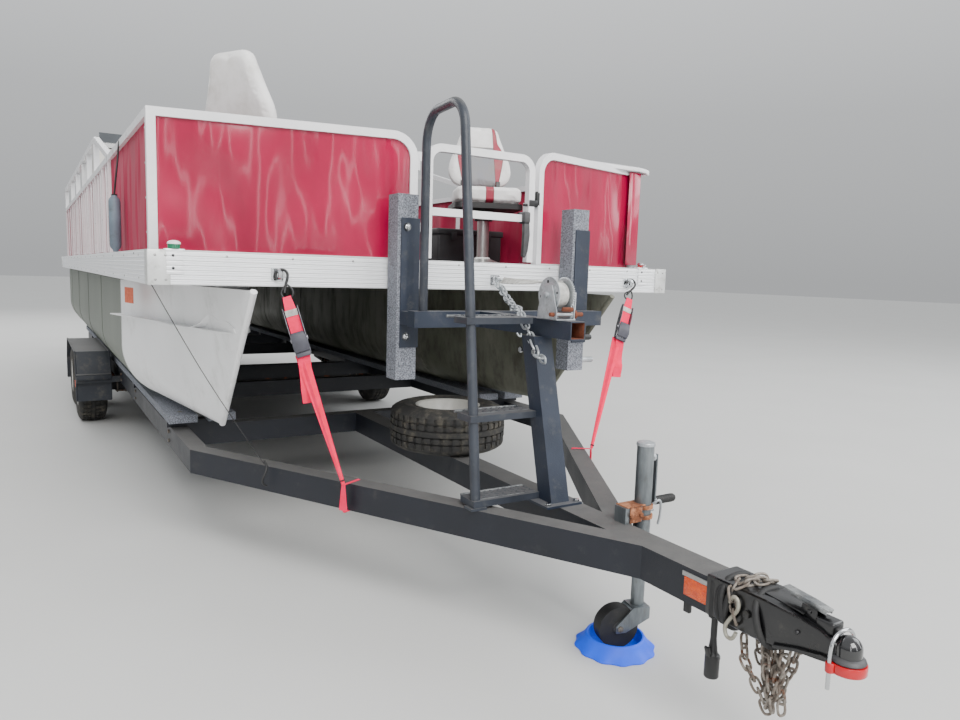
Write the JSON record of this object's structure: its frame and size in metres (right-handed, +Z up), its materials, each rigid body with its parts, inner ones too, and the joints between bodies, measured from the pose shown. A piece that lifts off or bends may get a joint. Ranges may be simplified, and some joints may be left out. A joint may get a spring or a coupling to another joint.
{
  "type": "pontoon boat on trailer",
  "caption": "Pontoon boat with a fenced deck, swivel chairs and an outboard motor, strapped on a tandem-axle trailer with a winch stand, boarding ladder and tongue jack.",
  "frame": {"origin": "middle of the whole outline, on the ground under the tyres", "axes": "+Z up, bow and trailer tongue toward -Y, starboard toward -X"},
  "size_m": [2.59, 9.866, 2.1486],
  "materials": {
    "pontoon_aluminium": "dull, weathered",
    "crossbeam_aluminium": "dull",
    "deck_carpet": "short outdoor carpet on board",
    "deck_trim": "brushed, fluted",
    "fence_rail": "white satin",
    "fence_panel": "red gloss",
    "eye_steel": "plated",
    "gate_rail": "white satin",
    "chair_pedestal": "satin",
    "chair_frame": "black",
    "chair_vinyl": "off-white vinyl",
    "console_shell": "off-white gelcoat",
    "steering_grip": "black",
    "bench_shell": "off-white",
    "bench_vinyl": "off-white vinyl",
    "bumper_vinyl": "grey-blue",
    "lamp": "clear and green lenses",
    "pod_aluminium": "dull",
    "outboard_black": "black satin",
    "cowl_plastic": "black gloss",
    "trailer_paint": "dark blue-grey",
    "bunk_carpet": "speckled carpet over wood",
    "axle_steel": "black, worn",
    "tyre_rubber": "black",
    "rim_white": "white",
    "fender_paint": "dark blue-grey",
    "coupler_black": "black",
    "lock_red": "red",
    "chain_steel": "rusty",
    "plug_plastic": "black",
    "jack_steel": "galvanised",
    "caster_rubber": "black",
    "dock_plastic": "blue",
    "stand_paint": "grey-blue, worn",
    "ladder_paint": "dark grey",
    "winch_steel": "zinc plated",
    "strap_webbing": "red webbing",
    "ratchet_steel": "grey"
  },
  "bodies": {
    "boat_and_trailer": {"pontoon_starboard": "pontoon_aluminium", "pontoon_port": "pontoon_aluminium", "deck_crossbeams": "crossbeam_aluminium", "deck_board": "deck_carpet", "deck_trim": "deck_trim", "deck_eyes": "eye_steel", "fence_frame_starboard": "fence_rail", "fence_frame_port": "fence_rail", "fence_panels_starboard": "fence_panel", "fence_panels_port": "fence_panel", "chair_pedestals": "chair_pedestal", "helm_console": "console_shell", "bench_base": "bench_shell", "bench_cushions": "bench_vinyl", "boat_bumper": "bumper_vinyl", "nav_lights": "lamp", "motor_pod": "pod_aluminium", "trailer_frame": "trailer_paint", "bunks": "bunk_carpet", "axles": "axle_steel", "spare_tyre": "tyre_rubber", "spare_rim": "rim_white", "trailer_fenders": "fender_paint", "coupler": "coupler_black", "coupler_lock": "lock_red", "chains": "chain_steel", "trailer_plug": "plug_plastic", "jack_tube": "jack_steel", "jack_fork": "jack_steel", "wheel_dock": "dock_plastic", "winch_stand": "stand_paint", "ladder": "ladder_paint", "winch": "winch_steel", "straps": "strap_webbing", "ratchets": "ratchet_steel"},
    "wheel_front_starboard": {"tyre_front_starboard": "tyre_rubber", "rim_front_starboard": "rim_white"},
    "wheel_front_port": {"tyre_front_port": "tyre_rubber", "rim_front_port": "rim_white"},
    "wheel_rear_starboard": {"tyre_rear_starboard": "tyre_rubber", "rim_rear_starboard": "rim_white"},
    "wheel_rear_port": {"tyre_rear_port": "tyre_rubber", "rim_rear_port": "rim_white"},
    "caster": {"jack_wheel": "caster_rubber"},
    "bow_gate": {"bow_gate": "gate_rail"},
    "stern_gate": {"stern_gate": "gate_rail"},
    "starboard_chair": {"starboard_chair_frame": "chair_frame", "starboard_chair_seat": "chair_vinyl"},
    "starboard_chair_back": {"starboard_chair_back": "chair_vinyl"},
    "port_chair": {"port_chair_frame": "chair_frame", "port_chair_seat": "chair_vinyl"},
    "port_chair_back": {"port_chair_back": "chair_vinyl"},
    "helm_chair": {"helm_chair_frame": "chair_frame", "helm_chair_seat": "chair_vinyl"},
    "helm_chair_back": {"helm_chair_back": "chair_vinyl"},
    "steering": {"steering_wheel": "steering_grip"},
    "outboard_bracket": {"outboard_swivel": "outboard_black"},
    "outboard": {"outboard_leg": "outboard_black", "outboard_cowl": "cowl_plastic"},
    "propeller": {"outboard_propeller": "outboard_black"}
  },
  "joints": [
    {"name": "wheel_front_starboard_spin", "type": "hinge", "parent": "boat_and_trailer", "child": "wheel_front_starboard", "pos_m": [-1.18, 0.603, 0.26], "axis": [1, 0, 0], "continuous": true},
    {"name": "wheel_front_port_spin", "type": "hinge", "parent": "boat_and_trailer", "child": "wheel_front_port", "pos_m": [1.18, 0.603, 0.26], "axis": [1, 0, 0], "continuous": true},
    {"name": "wheel_rear_starboard_spin", "type": "hinge", "parent": "boat_and_trailer", "child": "wheel_rear_starboard", "pos_m": [-1.18, 1.293, 0.26], "axis": [1, 0, 0], "continuous": true},
    {"name": "wheel_rear_port_spin", "type": "hinge", "parent": "boat_and_trailer", "child": "wheel_rear_port", "pos_m": [1.18, 1.293, 0.26], "axis": [1, 0, 0], "continuous": true},
    {"name": "caster_spin", "type": "hinge", "parent": "boat_and_trailer", "child": "caster", "pos_m": [0.05756, -4.04759, 0.074], "axis": [-0.2588, -0.9659, 0], "continuous": true},
    {"name": "bow_gate_swing", "type": "hinge", "parent": "boat_and_trailer", "child": "bow_gate", "pos_m": [-0.167, -2.967, 1.5], "axis": [0, 0, 1], "range_deg": [0, 90]},
    {"name": "stern_gate_swing", "type": "hinge", "parent": "boat_and_trailer", "child": "stern_gate", "pos_m": [-0.767, 3.453, 1.5], "axis": [0, 0, 1], "range_deg": [0, 90]},
    {"name": "starboard_chair_swivel", "type": "hinge", "parent": "boat_and_trailer", "child": "starboard_chair", "pos_m": [-0.59, -2.332, 1.536], "axis": [0, 0, 1], "continuous": true},
    {"name": "starboard_chair_fold", "type": "hinge", "parent": "starboard_chair", "child": "starboard_chair_back", "pos_m": [-0.70951, -2.401, 1.735], "axis": [-0.5, 0.866, 0], "range_deg": [0, 75]},
    {"name": "port_chair_swivel", "type": "hinge", "parent": "boat_and_trailer", "child": "port_chair", "pos_m": [0.78, -1.957, 1.536], "axis": [0, 0, 1], "continuous": true},
    {"name": "port_chair_fold", "type": "hinge", "parent": "port_chair", "child": "port_chair_back", "pos_m": [0.8317, -1.82905, 1.735], "axis": [0.9272, -0.3746, 0], "range_deg": [0, 75]},
    {"name": "helm_chair_swivel", "type": "hinge", "parent": "boat_and_trailer", "child": "helm_chair", "pos_m": [-0.74, 1.293, 1.536], "axis": [0, 0, 1], "continuous": true},
    {"name": "helm_chair_fold", "type": "hinge", "parent": "helm_chair", "child": "helm_chair_back", "pos_m": [-0.74, 1.431, 1.735], "axis": [1, 0, 0], "range_deg": [0, 75]},
    {"name": "outboard_tilt", "type": "hinge", "parent": "boat_and_trailer", "child": "outboard_bracket", "pos_m": [0, 4.423, 1.19], "axis": [1, 0, 0], "range_deg": [0, 60]},
    {"name": "outboard_steer", "type": "hinge", "parent": "outboard_bracket", "child": "outboard", "pos_m": [0, 4.498, 1.205], "axis": [0, 0, 1], "range_deg": [-30, 30]},
    {"name": "propeller_spin", "type": "hinge", "parent": "outboard", "child": "propeller", "pos_m": [0, 4.805, 0.64], "axis": [0, 1, 0], "continuous": true},
    {"name": "steering_turn", "type": "hinge", "parent": "boat_and_trailer", "child": "steering", "pos_m": [-0.85, 0.5505, 1.88841], "axis": [0, 0.866, 0.5], "range_deg": [-360, 360]}
  ],
  "couplings": [
    {"joint": "steering_turn", "follows": "outboard_steer", "ratio": -12}
  ]
}
